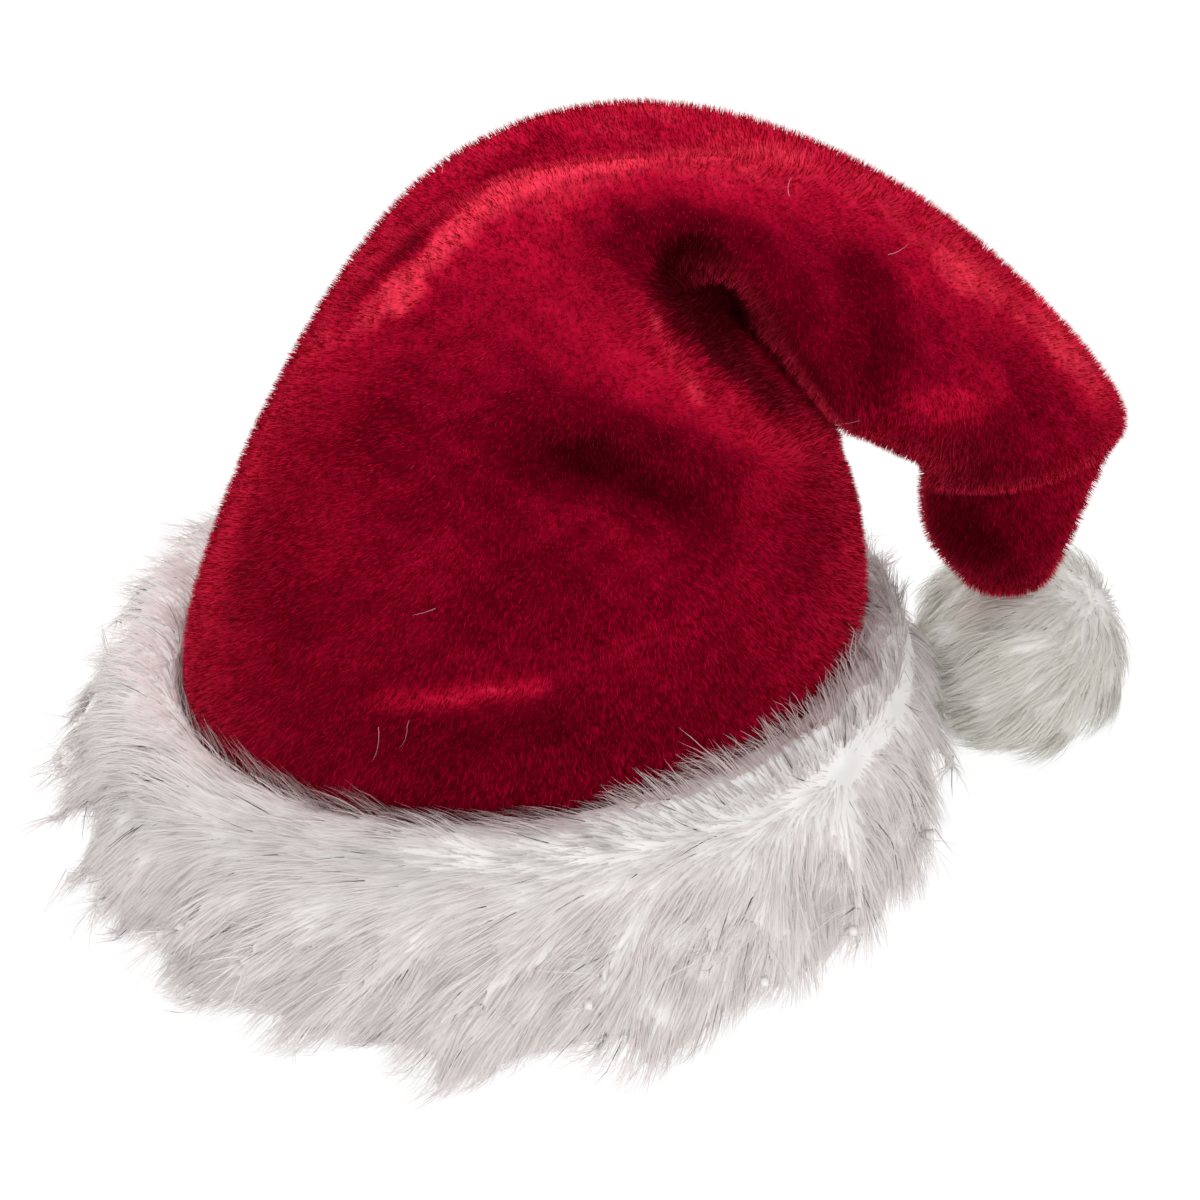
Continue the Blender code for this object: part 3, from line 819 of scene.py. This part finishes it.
def make_stray_hairs(cloth, crown_tree, material):
    """A few loose white hairs that lie on the red pile."""
    points, normals, triangles, slots = read_mesh(cloth.data)
    middles = points[triangles].mean(1)
    shown = (slots == 1) & (middles[:, 2] > STRAY_LOWEST_Z) & (normals[triangles].mean(1)[:, 1] < -0.2)
    draw = np.random.default_rng(31)
    roots, out = scatter(points, normals, triangles[shown], STRAY_HAIRS, draw)
    for i, place in enumerate(STRAY_PLACES):
        roots[i] = place
    way = draw.normal(size=out.shape)
    way = unit(way - out * dot(way, out))
    bend = np.cross(out, way) * draw.uniform(-0.7, 0.7, (len(out), 1))
    lengths = draw.uniform(0.4, 1.0, len(out)) * STRAY_LENGTH
    lengths[: len(STRAY_PLACES)] *= STRAY_LONGER
    paths = grown(roots, unit(way - bend), unit(way + bend), lengths, STRAY_STEPS)
    for path in paths:
        for k in range(len(path)):
            hit, normal, _, _ = crown_tree.find_nearest(Vector(path[k]))
            path[k] = np.array(hit) + np.array(normal) * STRAY_HEIGHT
    zeros = np.zeros(len(out))
    # the loose hairs take full painted red bounce light and some painted shade
    numbers = {"tone": zeros, "red_bounce": zeros + 1.0, "shade": zeros + 0.4}
    shading = np.repeat(out[:, None, :], STRAY_STEPS, axis=1)
    return strands_object("stray_hairs", paths, STRAY_HALF_WIDTH, out, shading, numbers, material)


def make_cuff_fur(ground, crown_tree, material):
    points, normals, triangles, _ = read_mesh(ground.data)
    middles = points[triangles].mean(1)
    facing = unit(normals[triangles].mean(1))
    outward = dot(facing, radial_at(middles))[:, 0]
    hidden = gap_to(crown_tree, middles) < FUR_CROWN_GAP
    hidden |= (middles[:, 2] < UNDERSIDE_Z) & (facing[:, 2] < -0.6)
    hidden |= (outward < -0.2) & (middles[:, 2] < INNER_SIDE_Z)
    rest = (triangles[~hidden], (points, normals), crown_tree, material)
    made = [cuff_strands("cuff_under_fur", CUFF_UNDER_STRANDS, 59, *rest, under=True)]
    for k in range(CUFF_PIECES):
        made.append(cuff_strands(f"cuff_fur_{k + 1}", CUFF_STRANDS, 60 + k, *rest, under=False))
    return made


def pompom_strands(name, count, seed, shown, surface, crown_tree, material, under):
    draw = np.random.default_rng(seed)
    low, high = (np.array(c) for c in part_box("pompom"))
    roots, out = scatter(*surface, shown, count, draw)
    ball = unit(roots - (low + high) / 2)
    out = unit(out * 0.5 + ball)
    swirl = sum(drift(roots, row) for row in POMPOM_SWIRL)
    flow = unit(roots - POMPOM_WHORL) + np.array([-0.1, 0.0, -0.10]) + swirl
    flow = unit(flow - ball * dot(flow, ball))
    start = unit(out * 0.7 + flow + draw.normal(size=out.shape) * 0.12)
    end = unit(-ball * 0.30 + flow - UP * 0.12 + draw.normal(size=out.shape) * 0.18)
    length = POMPOM_LONG * draw.uniform(*POMPOM_LENGTHS, count)
    length *= 1 + drift(roots, POMPOM_LENGTH_DRIFT)[:, 0]
    if under:
        paths = grown(roots - out * UNDER_ROOT_DEPTH, start, end, length * UNDER_SHARE, 2)
    else:
        paths = grown(roots - out * ROOT_DEPTH, start, end, length, 4)
        pull = np.full(count, POMPOM_CLUMP.pull)
        paths = clumped(paths, POMPOM_CLUMP.spacing, pull, seed + POMPOM_CLUMP.seed)
    near = gap_to(crown_tree, roots, 0.03) < 0.024
    paths = kept_off_floor(kept_out(paths, crown_tree, CROWN_CLEARANCE * 0.8, near), draw)
    face = unit(out + draw.normal(size=out.shape) * 0.5)
    # painted red bounce light on the pompom near the crown
    red_bounce = 1 - soft_step(gap_to(crown_tree, roots, 0.02) / POMPOM_RED_BOUNCE_WIDTH)
    numbers = {"tone": draw.random(count), "red_bounce": 0.6 * red_bounce, "shade": np.zeros(count)}
    width = UNDER_HALF_WIDTH if under else FUR_HALF_WIDTH
    return strands_object(name, paths, width, face, fur_shading(paths, ball, draw), numbers, material)


def make_pompom_fur(ground, crown_tree, material):
    points, normals, triangles, _ = read_mesh(ground.data)
    shown = triangles[gap_to(crown_tree, points[triangles].mean(1)) > 0.003]
    rest = (shown, (points, normals), crown_tree, material)
    return [
        pompom_strands("pompom_under_fur", POMPOM_UNDER_STRANDS, 89, *rest, under=True),
        pompom_strands("pompom_fur", POMPOM_STRANDS, 90, *rest, under=False),
    ]


# The studio


def make_studio():
    scene = bpy.context.scene
    camera = bpy.data.objects.new("camera", bpy.data.cameras.new("camera"))
    scene.collection.objects.link(camera)
    camera.data.lens = CAMERA_LENS
    camera.data.sensor_width = 36.0
    camera.data.clip_start = 0.01
    back = Vector((0.0, -math.cos(CAMERA_ELEVATION), math.sin(CAMERA_ELEVATION)))
    camera.location = CAMERA_TARGET + back * CAMERA_DISTANCE
    camera.rotation_mode = "QUATERNION"
    camera.rotation_quaternion = (-back).to_track_quat("-Z", "Y")
    scene.camera = camera
    scene.view_settings.view_transform = "Standard"

    sheet = bpy.data.meshes.new("studio_floor")
    edge = 6.0
    corners = [(-edge, -edge, 0), (edge, -edge, 0), (edge, edge, 0), (-edge, edge, 0)]
    sheet.from_pydata(corners, [], [(0, 1, 2, 3)])
    floor = bpy.data.objects.new("studio_floor", sheet)
    scene.collection.objects.link(floor)
    material, tree, shader = nodes_of("studio_floor")
    shader.inputs["Roughness"].default_value = 0.8
    shader.inputs["Specular IOR Level"].default_value = 0.0
    shader.inputs["Base Color"].default_value = (*grey(FLOOR_LEVEL), 1.0)
    shader.inputs["Emission Color"].default_value = (1.0, 1.0, 1.0, 1.0)
    shader.inputs["Emission Strength"].default_value = FLOOR_GLOW
    material.cycles.emission_sampling = "NONE"
    sheet.materials.append(material)

    world = bpy.data.worlds.new("studio")
    world.use_nodes = True
    world.node_tree.nodes["Background"].inputs["Color"].default_value = (1.0, 0.995, 0.99, 1.0)
    world.node_tree.nodes["Background"].inputs["Strength"].default_value = WORLD_STRENGTH
    scene.world = world
    for row in LAMPS:
        light = bpy.data.lights.new(row.name, "AREA")
        light.energy = row.power
        light.size = row.size
        lamp = bpy.data.objects.new(row.name, light)
        lamp.location = row.place
        lamp.rotation_mode = "QUATERNION"
        lamp.rotation_quaternion = (Vector(row.place) - Vector((0, 0, 0.08))).to_track_quat("Z", "Y")
        scene.collection.objects.link(lamp)


make_studio()
crown_cloth = make_crown()
crown_tree = BVHTree.FromObject(crown_cloth, bpy.context.evaluated_depsgraph_get())
pile = make_pile(crown_cloth)
fur = fur_material("white_fur_strands", (0.93, 0.885, 0.872), (0.80, 0.755, 0.745))
pompom_fur_look = fur_material("pompom_fur_strands", (0.90, 0.885, 0.835), (0.78, 0.76, 0.715))
fur_ground = white_ground_material()
cuff_ground = make_fur_ground("fur_cuff", "cuff_ground", fur_ground)
cuff_fur = make_cuff_fur(cuff_ground, crown_tree, fur)
pompom_ground = make_fur_ground("pompom", "pompom_ground", fur_ground)
pompom_fur = make_pompom_fur(pompom_ground, crown_tree, pompom_fur_look)
stray_hairs = make_stray_hairs(crown_cloth, crown_tree, fur)

for piece in (crown_cloth, cuff_ground, pompom_ground, stray_hairs, *pile, *cuff_fur, *pompom_fur):
    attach(piece, "root")
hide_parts("crown")
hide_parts("fur_cuff")
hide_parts("pompom")
